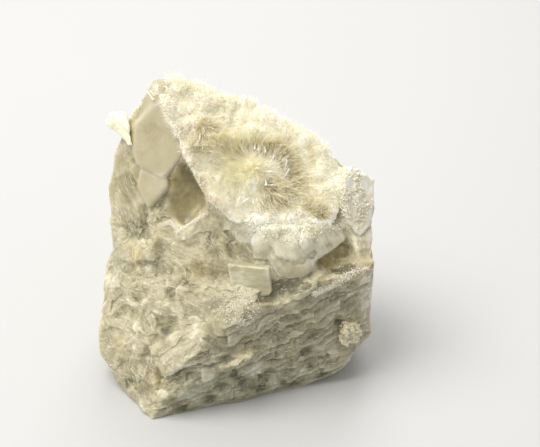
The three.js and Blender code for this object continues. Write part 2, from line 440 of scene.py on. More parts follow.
def crossAxes(direction, spin):  # two unit vectors square to each direction, turned by an angle
    helper = np.where(np.abs(direction[:, 2:]) < 0.8, [[0, 0, 1.0]], [[1.0, 0, 0]])
    side = unit(np.cross(direction, helper))
    other = np.cross(direction, side)
    c, s = np.cos(spin)[:, None], np.sin(spin)[:, None]
    return side * c + other * s, other * c - side * s


def needlePiece(name, roots, tips, radii, sides, rings, random, marks):
    # each needle is a closed spindle: a point at the root, a ring of `sides` corners at each
    # (share of its length, share of its radius) in `rings`, and a point at the tip
    count = len(roots)
    axis = tips - roots
    u, v = crossAxes(unit(axis), random.random(count) * 2 * math.pi)
    angle = np.arange(sides) * 2 * math.pi / sides
    circle = u[:, None] * np.cos(angle)[None, :, None] + v[:, None] * np.sin(angle)[None, :, None]
    parts = [roots[:, None]]
    shares = [np.zeros(1)]
    for share, width in rings:
        parts.append(roots[:, None] + axis[:, None] * share + circle * (radii * width)[:, None, None])
        shares.append(np.full(sides, share))
    parts.append(tips[:, None])
    shares.append(np.ones(1))
    verts = np.concatenate(parts, axis=1)
    size = verts.shape[1]
    i = np.arange(sides)
    j = (i + 1) % sides
    last = size - 1 - sides
    faces = [(i * 0, 1 + j, 1 + i)]
    for low in range(1, last, sides):
        high = low + sides
        faces += [(low + i, low + j, high + j), (low + i, high + j, high + i)]
    faces.append((last + i, last + j, i * 0 + size - 1))
    faces = np.transpose(faces, (0, 2, 1)).reshape(1, -1, 3)
    mesh = copiesOf(name, verts, faces, marks)
    paint(mesh, "along", np.tile(np.concatenate(shares), count))
    return show(name, mesh)


def copiesOf(name, places, faces, marks):
    # one row of places for each copy, faces for all copies or for each, and marks with one value for each
    count, size = places.shape[:2]
    everyFace = faces + (np.arange(count) * size)[:, None, None]
    mesh = bpy.data.meshes.new(name)
    mesh.vertices.add(count * size)
    mesh.loops.add(everyFace.size)
    mesh.polygons.add(count * faces.shape[1])
    mesh.vertices.foreach_set("co", inMetres(places))
    mesh.loops.foreach_set("vertex_index", everyFace.astype(np.int32).ravel())
    mesh.polygons.foreach_set("loop_start", np.arange(0, everyFace.size, faces.shape[2], dtype=np.int32))
    mesh.update(calc_edges=True)
    for mark, values in marks.items():
        paint(mesh, mark, np.repeat(values, size))
    return mesh


rhombCorners = np.array([[x, y, z] for x in (-1, 1) for y in (-1, 1) for z in (-1, 1)], float) / 2
rhombFaces = [(0, 1, 3, 2), (4, 6, 7, 5), (0, 4, 5, 1), (2, 3, 7, 6), (0, 2, 6, 4), (1, 5, 7, 3)]


def rhombMesh(name, centres, axes, marks):
    # each grain is a leaning box: centre + x * axis 1 + y * axis 2 + z * axis 3
    places = centres[:, None] + np.einsum("kc,nca->nka", rhombCorners, axes)
    mirrored = np.linalg.det(axes) < 0  # their faces run the other way round, so that they look outwards
    faces = np.where(mirrored[:, None, None], np.flip(rhombFaces, 1), rhombFaces)
    return copiesOf(name, places, faces, marks)


def randomTurns(count, seed):  # even random turns, one matrix each, from unit quaternions
    w, x, y, z = unit(np.random.default_rng(seed).normal(size=(count, 4))).T
    rows = [
        [1 - 2 * (y * y + z * z), 2 * (x * y - z * w), 2 * (x * z + y * w)],
        [2 * (x * y + z * w), 1 - 2 * (x * x + z * z), 2 * (y * z - x * w)],
        [2 * (x * z - y * w), 2 * (y * z + x * w), 1 - 2 * (x * x + y * y)],
    ]
    return np.array(rows).transpose(2, 0, 1)


# the lump

lump = {
    "coarse": 0.8,  # mm, the voxel in which the large forms are worn
    "voxel": 0.40,  # mm
    "triangles": 196000,
    "worn": (3, 30),  # rounds of softening everywhere, and in the worn places
    "core": 0.8,  # mm that the cores grow
    "strand": 0.75,  # mm, the width of a strand
    "patch": 8.5,  # mm across one patch of the fabric, between two pale crests
    "facets": [(5.0, 0.05, 13.0), (2.2, 0.025, 7.0)],  # mm across, lean, mm of one grain
    "layerNormal": (-0.24, -0.05, 0.97),  # the layers of the foot rise to the right
    "layers": 2.0,  # mm, the usual thickness of a layer
    "layeredToo": ((-12, -29, 8), (22, 9, 9)),  # the foot at the left, as well as the right face
    "shellLump": ((-29, -15, 14), (13, 12, 12)),  # shell-like layers at the lower left
    "shellCentre": (-20, -8, -4),  # they curve round this
    "shells": 1.9,  # mm
    "recess": ((-13, 2, 51), (7.5, 8, 12)),  # here the stone is clear and smooth
    "column": ((-31, 13, 50), (9, 12, 14)),  # and here a little
    "greyCorner": ((-33.8, -0.8, 28.1), (4, 6, 9)),
    # the darkest colour, then the tones between which the next ones come in: olive, cream, white
    "colours": [
        (0.15, 0.135, 0.07),
        (0.0, 0.36, (0.36, 0.32, 0.185)),
        (0.25, 0.62, (0.56, 0.505, 0.335)),
        (0.55, 0.95, (0.86, 0.815, 0.655)),
    ],
}
# the radius says how far red, green and blue light spread inside, next to one another
calcite = {"IOR": 1.6, "Subsurface_Radius": (1.0, 0.95, 0.8)}
# the stone grows up round what sits in it, almost to its outer face: which way that face looks, and how
# many mm the core that stands for it sinks
cores = {
    "needle_druse": ((0, -0.55, 0.83), 2.4),
    "glassy_crystal": ((-0.65, -0.50, 0.55), 1.5),
    "milky_crystal": ((0.05, -0.90, 0.43), 1.2),
    "cleavage_rhomb": ((-0.19, -0.85, 0.49), 1.5),
    "shoulder_crystal": ((0.45, -0.65, 0.61), 1.1),
    "sugar_knob": ((0.7, -0.6, -0.4), 1.8),
}
# bundles of strands: centre and radii in mm, the way that the strands run, their length in mm
bundles = [
    ((-15, -6, 37), (12, 9, 9), (0.88, -0.46, -0.11), 8),
    ((-8, -13, 32), (12, 8, 5), (0.86, -0.51, 0.01), 6),
    ((-2, -6, 42), (7, 8, 8), (0.50, -0.40, -0.77), 5),
    ((-31, 13, 50), (9, 12, 14), (0.40, -0.68, -0.61), 7),
    ((-35, 2, 29), (8, 9, 9), (0.54, -0.81, -0.23), 3),
    ((-19, -15, 27), (9, 8, 6), (0.90, -0.44, 0.01), 2.5),
    ((-32, -15, 18), (8, 8, 6), (0.73, -0.69, -0.03), 4.5),
    ((-33, -19, 8), (7, 8, 7), (0.62, -0.70, -0.35), 4),
    ((-15, -25, 19), (8, 7, 6), (0.80, 0.14, 0.59), 2.5),
    ((-11, -31, 10), (15, 7, 6), (0.91, 0.08, 0.40), 7),
    ((3, -23, 21), (9, 8, 9), (0.92, 0.30, 0.25), 4),
    ((18, -19, 17), (12, 9, 8), (0.95, 0.30, 0.08), 4),
    ((26, -14, 28), (10, 8, 5), (0.90, 0.38, 0.22), 6),
    ((36, -11, 32), (6, 7, 6), (0.64, 0.45, 0.62), 4),
    ((18, -20, 5), (18, 9, 5), (0.95, 0.29, 0.04), 3.5),
    ((26, -5, 43), (8, 8, 6), (0.82, -0.32, -0.48), 3),
    ((36, 8, 25), (9, 15, 20), (0.05, 0.90, 0.30), 5),
    ((0, 30, 30), (30, 9, 22), (0.80, 0.10, -0.60), 5),
    ((-33, 15, 20), (8, 12, 16), (0.30, -0.70, 0.60), 4),
]
# places where the edges of the blocks are worn away
wornPlaces = [
    ((-6, -29, 9), (24, 6, 8)),
    ((12, -14, 32), (9, 6, 5)),
    ((-15, -25, 17), (9, 5, 8)),
    ((-30, -14, 16), (9, 8, 7)),
    ((-28, -7, 27), (6, 6, 6)),
    ((-28, 0, 36), (8, 7, 6)),
    ((-24, -3, 33), (4, 5, 4)),
]
# broad swellings (above 0) and dents (below 0): centre, radii and height in mm
swells = [
    ((3.5, -6.0, 46.5), (6.5, 4, 4), 1.5),
    ((37.0, -9.0, 4.0), (8, 10, 10), -2.4),
]
# hollows with a pale crest round them: centre, radii and depth in mm, and how much darker inside, partly
# painted shade
hollows = [
    ((-27.2, -10.2, 26.8), (5.0, 5.5, 5.6), 1.0, 0.16),
    ((-18.4, -18.0, 23.4), (6.2, 6.0, 6.2), 0.9, 0.15),
    ((-20.4, -26.4, 11.6), (3.6, 4.2, 4.2), 1.0, 0.20),
    ((-32.8, -10.7, 19.8), (3.0, 3.4, 3.0), 0.6, 0.16),
    ((-29.8, -23.0, 5.6), (3.6, 4.0, 3.8), 0.7, 0.36),
    ((-1.6, -26.0, 17.6), (4.0, 4.0, 3.0), 0.6, 0.28),
    ((8.5, -22.0, 8.0), (5.5, 4.0, 3.0), 0.5, 0.04),
    ((20.0, -18.0, 13.0), (5.5, 4.0, 2.8), 0.6, 0.18),
    ((28.5, -13.0, 19.0), (5.0, 5.0, 4.0), 0.6, 0.20),
    ((-14.0, -11.0, 31.6), (7.0, 3.6, 2.2), 0.5, 0.18),
]
# narrow dark grooves between the blocks: points on them, radius and depth in mm
grooves = [
    ([(-20.8, -1.3, 39.0), (-21.6, -4.2, 34.0), (-21.4, -9.5, 30.5)], 0.9, 0.6),
    ([(-7.6, -5.4, 42.0), (-3.6, -9.0, 38.0), (-1.6, -10.6, 35.2)], 0.8, 0.6),
    ([(-21.3, -10.6, 30.3), (-13.4, -14.0, 30.6), (-8.0, -16.5, 30.4)], 0.7, 0.4),
    ([(-23.4, -22.4, 16.0), (-18.5, -29.2, 11.8)], 0.8, 0.5),
    ([(12.0, -17.0, 32.0), (16.2, -16.4, 33.5), (22.8, -13.2, 35.4), (33.0, -9.5, 35.9)], 2.0, 0.6),
]
# places that are darker (below 0) or paler (above 0) than the rest: centre, radii in mm, how much
shades = [
    ((-25.4, 5.6, 40.3), (3.0, 5, 7), -0.20),  # the groove beside the column
    ((-27.8, -2.2, 36.2), (3.5, 3, 3), 0.14),
    ((-9.4, -9.7, 34.8), (9, 4, 3), -0.12),
    ((-2.4, -5.1, 43.4), (5, 4, 6), -0.04),
    ((2.5, -5.4, 46.4), (7.5, 5, 5.5), 1.1),  # white sugar below the lip
    ((-1.0, -5.5, 38.5), (3.0, 3, 3.0), -0.12),
    # painted shade where the stone has a small pit
    ((-5.1, -18.2, 30.3), (1.0, 1.0, 0.8), -0.6),  # a dark pit
    ((-31.5, -16.6, 15.6), (5, 5, 6), 0.10),
    ((-32.8, -1.2, 30.5), (3.5, 4, 5), 0.12),
    ((-15.6, -25.9, 17.6), (6, 4, 5.5), 0.16),  # the plate
    ((-11.0, -21.5, 24.0), (4.0, 4, 4.5), 0.26),
    ((-8.6, -25.0, 22.6), (2.2, 2, 2), 0.3),
    ((-26.5, -16.0, 20.6), (1.5, 2, 1.6), 0.4),
    ((-26.7, -20.3, 16.2), (1.5, 2, 1.6), 0.4),
    ((-16.0, -6.0, 38.5), (8, 6, 5), 0.10),  # the fibrous block
    ((-18.9, -30.4, 7.5), (7, 3, 2), 0.14),
    ((-7.8, -30.2, 12.0), (7, 3, 2), 0.14),
    ((21.3, -17.7, 18.0), (5, 3, 2.0), -0.18),
    ((25.5, -17.0, 8.0), (8, 4, 4), -0.12),
    ((26.0, -5.0, 35.0), (6, 5, 5), 0.18),  # the olive cavity
    ((27.0, -4.0, 41.5), (5, 3.5, 3.2), 0.25),
    ((33.5, -5.5, 37.5), (3, 4, 4.5), 0.14),
    ((32.4, -12.9, 33.1), (4.5, 2.0, 1.6), -0.16),
    ((37.3, -10.1, 24.7), (3, 6, 9), 0.36),
    ((6.0, -22.5, 5.0), (9, 4, 5), -0.06),
    ((-25.5, -27.0, 7.0), (5, 5, 5), -0.10),
    # the recess is darker on its deep side, partly painted shade
    ((-11.4, 7.0, 53.0), (6, 8, 9), -0.20),  # the deep side of the recess
    ((-15.5, 3.5, 47.5), (6, 6, 5), -0.18),
    ((26.0, -3.5, 45.0), (6, 4, 3), 0.30),
    ((32.0, -1.0, 45.5), (5, 4, 3.5), 0.40),
    ((34.5, -4.0, 40.5), (4, 4, 3), 0.16),
    # painted shadow: the cave under the rhomb is filled, so its shade is painted
    ((13.0, -14.0, 31.5), (8, 4, 3.0), -0.90),  # the cave under the rhomb
    ((0.4, -20.0, 30.7), (9, 7, 7), -0.10),
    ((-32.0, 13.0, 49.0), (7, 9, 12), -0.10),  # the left column
    # painted shadow in the dark band under the fibrous block
    ((-14.5, -13.8, 30.4), (9, 4, 2.3), -0.42),
    # this row and the next, and the rows at x 27.5, 30.5 and 8.6: painted shadow along the crease from
    # the cave to the right
    ((15.4, -17.5, 33.0), (5, 3, 2.2), -0.45),
    ((16.5, -14.5, 34.5), (5.5, 3.5, 2.5), -0.35),
    ((27.5, -12.0, 34.0), (3.5, 3, 2.4), -0.28),
    ((-23.7, 1.3, 39.6), (3, 3, 3), -0.18),
    ((30.5, -10.5, 35.0), (6, 3, 2.4), -0.48),
    ((8.6, -18.0, 31.0), (4, 3, 2.0), -0.40),
    ((2.2, -8.4, 37.0), (3.5, 3, 3), -0.26),
    ((-0.2, -25.9, 16.2), (5, 3, 2.4), -0.30),
    # painted shade in a hollow at the lower left
    ((-19.5, -20.5, 20.5), (4.5, 4, 3), -0.34),
    ((-5.2, -6.4, 42.0), (4, 4, 3.4), -0.20),
    ((-28.0, 4.5, 38.5), (5.5, 5, 4.5), -0.26),
    ((-30.9, 7.7, 41.5), (3, 4, 4), -0.16),
    ((-19.9, 2.3, 45.3), (3.5, 3, 3), -0.22),
    ((4.5, -23.8, 10.8), (8, 4, 3), 0.48),
    ((-23.2, -3.8, 32.2), (4.2, 4, 3), 0.64),
    ((13.0, -21.5, 6.0), (17, 5, 3), 0.22),
    ((-10.9, -27.8, 13.9), (4, 3, 3), 0.30),
    ((20.5, -19.4, 4.0), (7, 3, 3), 0.24),
    ((37.5, -2.0, 39.9), (3, 4, 3.5), 0.25),
    ((36.7, -10.6, 33.5), (3, 3, 2.4), 0.40),
    ((33.0, -11.9, 26.5), (4, 3, 3), 0.22),
    ((27.1, -16.2, 13.1), (4, 3, 3), 0.22),
    ((30.3, -2.7, 36.9), (3, 3, 3), 0.35),
    ((-11.6, -4.1, 41.4), (4, 4, 3), 0.18),
    ((-23.3, 5.0, 48.3), (3, 3, 3.5), 0.14),
    ((-35.5, -2.0, 26.0), (3.5, 6, 4), 0.22),
]
# the same for yellow-brown stains
stains = [
    ((-25.4, 5.6, 40.3), (3, 5, 8), 0.6),
    ((-27.8, -2.2, 36.2), (4, 4, 4), 0.5),
    ((-31.1, 14.6, 52.0), (5, 6, 8), 0.35),
    ((-31.5, -16.6, 15.6), (5, 5, 6), 0.4),
    ((-2.4, -5.1, 43.4), (6, 5, 8), 0.3),
    ((24.0, -3.8, 45.2), (2.0, 2, 1.6), 1.0),
    ((28.4, -3.5, 44.0), (1.2, 1.2, 1.0), 1.0),
    ((23.1, -12.5, 35.2), (2.5, 2.5, 2.0), 0.9),
    ((26.7, -5.0, 35.5), (7, 6, 6), 0.9),
    ((-13.0, 5.0, 51.0), (8, 8, 10), 0.9),
    ((-20.4, -26.0, 10.9), (3, 3, 4), 0.6),
    ((31.0, -11.4, 18.6), (6, 5, 4), 0.6),
    ((-9.4, -9.7, 34.8), (9, 4, 3), 0.5),
]
# thin raised veins of white sugar: points on them, radius and height in mm
veins = [
    (
        [(-20.8, 1, 42.5), (-17.9, 0.2, 44.1), (-15.6, -2.3, 42.5), (-12.8, -1.5, 44.3), (-7.9, -2, 48)],
        0.6,
        0.2,
    ),
    ([(22.3, -15.4, 31.3), (27.0, -13.4, 32.5), (31.9, -11.2, 34.3), (36.1, -9.4, 35.3)], 1.0, 0.5),
]


def nearLine(points, line):  # how far each point is from a line of straight stretches
    best = np.full(len(points), 9e9)
    for a, b in zip(np.array(line[:-1], float), np.array(line[1:], float)):
        t = np.clip((points - a) @ (b - a) / ((b - a) @ (b - a)), 0, 1)
        best = np.minimum(best, np.linalg.norm(points - a - t[:, None] * (b - a), axis=1))
    return best


def inStrands(points, way, length):  # places counted in strands: across / width + along / length
    along = (points @ way)[:, None] * way
    return (points - along) / lump["strand"] + along / length


def bundleShares(points):  # how much each bundle counts at each point
    return [np.exp(-1.5 * (((points - centre) / radii) ** 2).sum(1)) for centre, radii, _, _ in bundles]


def flowOf(points):  # places counted in the strands of each bundle, blended between bundles
    total, shares = np.zeros(points.shape), np.full(len(points), 1e-6)
    for share, (centre, _, way, length) in zip(bundleShares(points), bundles):
        total += share[:, None] * inStrands(points - centre, unit(way), length)
        shares += share
    return total / shares[:, None]


def wayOf(points):  # the way that the strands run at each point, blended between the bundles
    return unit(np.stack(bundleShares(points), 1) @ unit([way for _, _, way, _ in bundles]) + 1e-6)


def layered(along, seed, across, breaks):
    # a stack of layers cut off at different depths: each stands out by its own amount, in uneven pieces
    layer = np.floor(along)
    part = np.floor(across / breaks + 3 * hashed(np.stack([layer, layer, layer], 1), seed))
    stands = hashed(np.stack([layer, part, layer * 0], 1), seed + 1) - 0.5
    return stands, along - layer - 0.5


def rightFaceOf(p, n):  # 1 on the layered grey face at the lower right
    return smooth(n @ unit([0.4, -0.9, 0.1]), 0.72, 0.9) * (1 - smooth(p[:, 2], 31, 37))


def filledLump():  # the lump with its seats filled by cores
    lumpPiece = mergedCopy("matrix", "stoneLump")
    fillings = []
    for node, (outward, sink) in cores.items():
        core = mergedCopy(node, "core")
        p, n = pointsOf(core.data)
        setPoints(core.data, p + n * lump["core"] - unit(outward) * sink)
        fillings.append(core)
    joined(lumpPiece, fillings)
    return remeshed(lumpPiece, lump["coarse"])


# the darkening inside hollows and grooves is partly painted shade
def hollowsAt(p):  # at each point: how deep, how much darker, and the share of a pale crest
    deep, dim, crest = np.zeros(len(p)), np.zeros(len(p)), np.zeros(len(p))
    for centre, radii, depth, darker in hollows:
        far = np.abs((p - centre) / radii).sum(1)  # eight-sided, like the hollow a crystal leaves
        inside = 1 - smooth(far, 0.3, 1.05)
        deep += depth * inside
        dim += darker * inside
        crest = np.maximum(crest, np.exp(-(((far - 1.15) / 0.14) ** 2)))
    for line, radius, depth in grooves:
        inside = 1 - smooth(nearLine(p, line), 0, radius)
        deep += depth * inside
        dim += 0.3 * inside
    return deep, dim, crest


def wearLump(mesh):  # the large forms: blocks with worn edges, folds, and crests between patches
    p, n = pointsOf(mesh)
    n = unit(softened(mesh, n, 3))
    calm = smooth(p[:, 2], 0.2, 3.0) * (1 - 0.9 * recessOf(p))  # nothing moves at the flat base
    warp = 0.8 * vectorNoise(p, 12, 1) + 0.45 * vectorNoise(p, 5, 2)
    curl, crest, _ = fabricOf(p)
    # folds: rounded swellings between sharp creases
    lift = 0.35 - 0.8 * np.abs(valueNoise(curl, 8.5, 20)) - 0.2 * np.abs(valueNoise(curl, 4.2, 21))
    lift += 0.35 * crest - 0.15
    deep, _, rim = hollowsAt(p + 0.8 * vectorNoise(p, 5, 24))
    lift += 0.4 * rim - deep + blobs(p, swells, 0.8)
    q = p + (warp + n * lift[:, None]) * calm[:, None]
    # the foot is ragged: its sides go in and out where they meet the floor
    q += n * (1, 1, 0) * ((1 - smooth(p[:, 2], 2, 8)) * (0.9 * fractal(p, 7, 22, 2) - 0.2))[:, None]
    q = softened(mesh, q, lump["worn"][0])
    worn = sum(blob(p, *place, 0.5) for place in wornPlaces)
    q += (softened(mesh, q, lump["worn"][1]) - q) * np.clip(worn, 0, 1)[:, None]
    keepFlat(p, q, 0.3)
    setPoints(mesh, q)


def keepFlat(p, q, low):  # what was below `low` lies on the floor, and nothing goes under it
    q[:, 2] = np.where(p[:, 2] < low, 0, np.maximum(q[:, 2], 0.0))


def recessOf(p):
    return blob(p, *lump["recess"], 0.3)


def fabricOf(p):  # bent places, the crests between the patches of the fabric, and a number for each patch
    curl = p + 3.0 * vectorNoise(p, 14, 5) + 0.8 * vectorNoise(p, 5, 8)
    _, edge, owner, _ = nearestCells(curl, lump["patch"], 15)
    return curl, 1 - smooth(edge, 0.0, 0.35), hashed(owner, 16) - 0.5


def carveLump():
    piece = filledLump()
    wearLump(piece.data)
    mesh = remeshed(piece, lump["voxel"]).data
    p, n = pointsOf(mesh)
    print("lump remeshed:", len(p), "points")
    glassy = np.maximum(recessOf(p), 0.55 * blob(p, *lump["column"], 0.4))
    _, crest, patch = fabricOf(p)
    low = smooth(p[:, 2], 0.2, 3.0)
    calm = 1 - 0.85 * glassy
    rightFace = rightFaceOf(p, unit(softened(mesh, n, 8)))
    beds = np.maximum(rightFace, blob(p, *lump["layeredToo"], 0.5))
    shell = blob(p, *lump["shellLump"], 0.4) * (1 - beds)

    curl = p + 2.4 * vectorNoise(p, 12, 25) + 0.9 * vectorNoise(p, 5, 28)
    flow = flowOf(p + 1.3 * vectorNoise(p, 12, 25) + 0.25 * vectorNoise(p, 4, 28))
    fibres = fractal(flow / 1.6, 1.0, 50, 3, 0.6)
    lift = (0.10 * fibres + 0.09 * valueNoise(p, 1.1, 60)) * calm
    for number, (size, lean, grain) in enumerate(lump["facets"]):
        lift += cleaved(curl, size, lean, 100 * (number + 1), grain, turned(number + 3)) * calm

    across = p[:, 0] + 0.4 * p[:, 1]
    along = p @ unit(lump["layerNormal"]) / lump["layers"] + fractal(p, 13, 31) + 0.4 * fractal(p, 4, 35)
    stands, inside = layered(along, 40, across, 11.0)
    lift += beds * (0.42 * stands - 0.2 * inside)
    along = np.linalg.norm(curl - lump["shellCentre"], axis=1) / lump["shells"] + 0.5 * fractal(p, 9, 36)
    shellStands, shellInside = layered(along, 44, across, 12.0)
    lift += shell * (0.32 * shellStands - 0.18 * shellInside)
    seam = beds * smooth(np.abs(inside), 0.36, 0.48) * smooth(valueNoise(p, 5, 37), -0.2, 0.5)

    white = np.zeros(len(p))
    for line, radius, height in veins:
        vein = 1 - smooth(nearLine(p + 0.5 * vectorNoise(p, 2, 65), line), 0.3 * radius, radius)
        lift += height * vein
        white = np.maximum(white, vein)

    q = p + n * (lift * low)[:, None]
    keepFlat(p, q, 0.15)
    setPoints(mesh, q)

    # the tone follows how far each point stands out: paler on ridges and darker in hollows, partly
    # painted shade in the hollows; the layered face at the lower right is a little darker
    near, wide = standing(mesh, q, n, 6), standing(mesh, q, n, 50)
    rough = q + 1.6 * vectorNoise(q, 4, 66) + 0.5 * vectorNoise(q, 1.5, 67)
    tone = 0.45 + 0.9 * np.clip(near, -0.12, 0.2) + 0.06 * np.clip(wide, -0.8, 0.8) - 0.06 * rightFace
    tone += 0.05 * fibres + 0.08 * fractal(curl, 6, 68) + 0.05 * crest + 0.05 * patch - 0.14 * seam
    tone += blobs(rough, shades)
    _, dim, rim = hollowsAt(rough)
    tone += 0.16 * rim - dim + beds * 0.16 * stands
    green = rightFace * (1 - smooth(rough[:, 2] + 0.25 * rough[:, 0], 9, 19))
    tone += green * (0.35 * fractal(q, 3.5, 72) - 0.08)
    gold = 0.35 + 0.35 * fractal(q, 9, 70) + 0.15 * fibres + 0.3 * patch - 0.2 * crest
    gold += blobs(rough, stains)
    paint(mesh, "tone", tone + 0.4 * white)
    paint(mesh, "gold", gold * (1 - white))
    paint(mesh, "greyed", np.maximum(rightFace, 0.7 * blob(rough, *lump["greyCorner"])))
    paint(mesh, "green", green)
    paint(mesh, "glassy", glassy)
    paintFlow(mesh, flow)
    thinned(piece, lump["triangles"])
    return piece


def stoneFinish():
    stone = Finish("massiveCalcite", **calcite, Subsurface_Weight=0.7, Subsurface_Scale=0.0028)
    flow = stone.mask("flow", "Vector")
    streak = stone.noise(0.8, 5, 0.7, where=flow)
    hair = 1.0 - ((stone.noise(2.0, 3, where=flow) - 0.5) * 14.0).size()  # thin lines along the strands
    fine = stone.noise(0.8, 5, 0.85)
    rich = stone.noise(4.5, 2)  # how much the strands show
    # painted glints: tiny white specks in the tone that stand for sparkles of light
    speck = stone.noise(0.42, 1).between(0.66, 0.74)
    quiet = 1.0 - stone.mask("glassy") * 0.8
    strand = (streak - 0.5) * rich * 1.2 + hair.between(0.2, 1.0) * rich.between(0.45, 0.65) * 0.09
    tone = stone.mask("tone") + (strand + (fine - 0.5) * 0.7 + speck * 0.2) * quiet
    colour = stone.ramp(tone, *lump["colours"])
    colour = stone.tint(stone.mask("gold").between(0.2, 1.4), colour, (1.0, 0.92, 0.66))
    colour = stone.tint(stone.mask("greyed"), colour, (0.88, 0.90, 0.96))
    colour = stone.tint(stone.mask("green"), colour, (0.92, 0.96, 0.94))
    stone.feed("Base Color", colour)
    stone.feed("Roughness", 0.45 - stone.mask("glassy") * 0.08 - tone.between(0.75, 0.2) * 0.1)
    stone.bump((streak * 0.7 + fine) * quiet, 0.26)
    return stone


# pale splinters that lie along the strands of the stone, half sunk

splinters = {
    "count": 4500,
    "length": (0.5, 2.6),  # mm
    "radius": (0.04, 0.10),  # mm
    "stray": 0.15,  # how far they lean away from the strands
    "lift": 0.3,  # how far their middle line stands out of the stone, as a share of the radius
    "dull": (0.78, 0.73, 0.54),
    "bright": (0.96, 0.92, 0.78),
    "through": (0.86, 0.81, 0.65),  # the colour of light that shines through them
    "share": 0.3,  # of the light that shines through
    "roughness": 0.3,
}


def growSplinters(stone):
    random = np.random.default_rng(41)
    count = splinters["count"]

    def weigh(p, n):  # none in the recess and at the foot, and few on the layered face
        rare = (1 - recessOf(p)) * (1 - 0.6 * rightFaceOf(p, n)) * smooth(p[:, 2], 1.5, 4)
        return rare * (0.06 + smooth(fractal(p, 6, 460), -0.2, 0.6))

    at, n = scattered(stone.data, count, weigh, 42)
    way = unit(levelled(wayOf(at) + random.normal(size=(count, 3)) * splinters["stray"], n))
    half = way * drawn(random, splinters["length"], (count, 1), 2) / 2
    radii = drawn(random, splinters["radius"], count, 2)
    middle = at + n * (radii * splinters["lift"])[:, None]
    marks = {"tone": random.random(count) * (1 - 0.5 * rightFaceOf(at, n))}
    rings = [(0.15, 1.0), (0.85, 0.9)]
    return needlePiece("stoneSplinters", middle - half, middle + half, radii, 4, rings, random, marks)


def speckFinish(name, made):  # each splinter or grain has a tone of its own
    speck = Finish(name, Roughness=made["roughness"], IOR=1.6)
    speck.feed("Base Color", speck.mix(speck.mask("tone"), made["dull"], made["bright"]))
    speck.letThrough(made["share"], made["through"])
    return speck


# the crust of needles

crust = {
    "voxel": 0.45,  # mm
    "outward": (0.0, -0.55, 0.83),  # the way that the crust faces
    "valley": [
        (-10, 6.2, 64.8), (-4.9, 8.1, 65), (0.3, 8, 63.4), (5.8, 9.8, 62.6), (10.5, 10.2, 60.7),
        (14.6, 8.9, 58), (16.8, 6.2, 55.1), (17.7, 3.3, 52.7), (14.9, -0.7, 52.1), (9.4, -2.6, 52),
    ],
    # more olive hollows: centre, radii in mm, how olive
    "patches": [
        ((-7.4, 11, 68.0), (4.2, 4, 3.4), 0.65),
        ((12.5, 1.8, 54.2), (5.5, 4, 4.5), 1.0),
        ((3.5, 8.5, 62.8), (4, 3.5, 2.2), 1.0),
    ],
    "pocket": ((22.6, -1.4, 49.2), (5.0, 3, 2.6)),  # a brown hollow in the lip
    # the sugary left edge
    "rim": [(-18, 18, 75), (-17, 12.5, 70), (-14, 6.5, 64), (-10.5, 1.5, 59), (-7, -2, 54)],
    "peak": ((-16.5, 20.0, 76.0), (4, 4.5, 4)),  # its highest corner swells
    "valleyWidth": 3.6,  # mm from its middle line to its edge
    "mound": (2.0, 4.2, 59.8),  # the golden mound
    "moundSize": (10.5, 8, 7),  # mm
    # places from which needles spread, and how far they do, in mm
    "foci": [((8.0, 4.0, 58.0), 11.0), ((-8.5, 12.4, 69.3), 5.5), ((6.5, 16.0, 68.0), 6.5)],
    "lipHeight": (48.5, 52.5),  # mm above the floor: below this the crust is sugar, not needles
    "tuft": 3.2,  # mm across one tuft
    "tuftLean": 1.3,  # how much its needles lean away from its middle
    "stray": 0.22,  # and how much they lean at random
    "sunk": 0.3,  # mm
    "length": (1.0, 2.3),  # mm
    "radius": (0.03, 0.065),  # mm
    "root": (0.93, 0.86, 0.61),
    "rootOlive": (0.54, 0.44, 0.15),
    "tip": (1.0, 0.985, 0.90),
    "tipGold": (1.0, 0.985, 0.82),
    "tipOlive": (0.88, 0.80, 0.47),
    "white": (0.985, 0.96, 0.85),
    "gold": (0.99, 0.955, 0.75),
    "olive": (0.50, 0.43, 0.15),
}


needleSets = {
    "druseNeedles": {"count": 27000, "seed": 21, "stretch": 1.0},
    "longNeedles": {"count": 3000, "seed": 23, "stretch": 1.9},
}


def zonesOf(p):  # shares of the crust's zones at each point: valley, mound, sugary lip
    rough = p + 1.2 * vectorNoise(p, 4, 401) + 0.5 * vectorNoise(p, 1.5, 402)
    valley = 1 - smooth(nearLine(rough, crust["valley"]), 1.0, crust["valleyWidth"])
    for centre, radii, share in crust["patches"]:
        valley = np.maximum(valley, share * blob(rough, centre, radii))
    mound = blob(rough, crust["mound"], crust["moundSize"], 0.7)
    low, high = crust["lipHeight"]
    lip = np.maximum(1 - smooth(rough[:, 2], low, high), 0.8 * smooth(rough[:, 0], 23.5, 28))
    pocket = blob(rough, *crust["pocket"])
    return np.maximum(valley * (1 - 0.8 * lip), pocket), mound, lip * (1 - pocket)


def rimOf(p):  # 1 along the sugary left edge
    return 1 - smooth(nearLine(p, crust["rim"]), 0.8, 2.6)


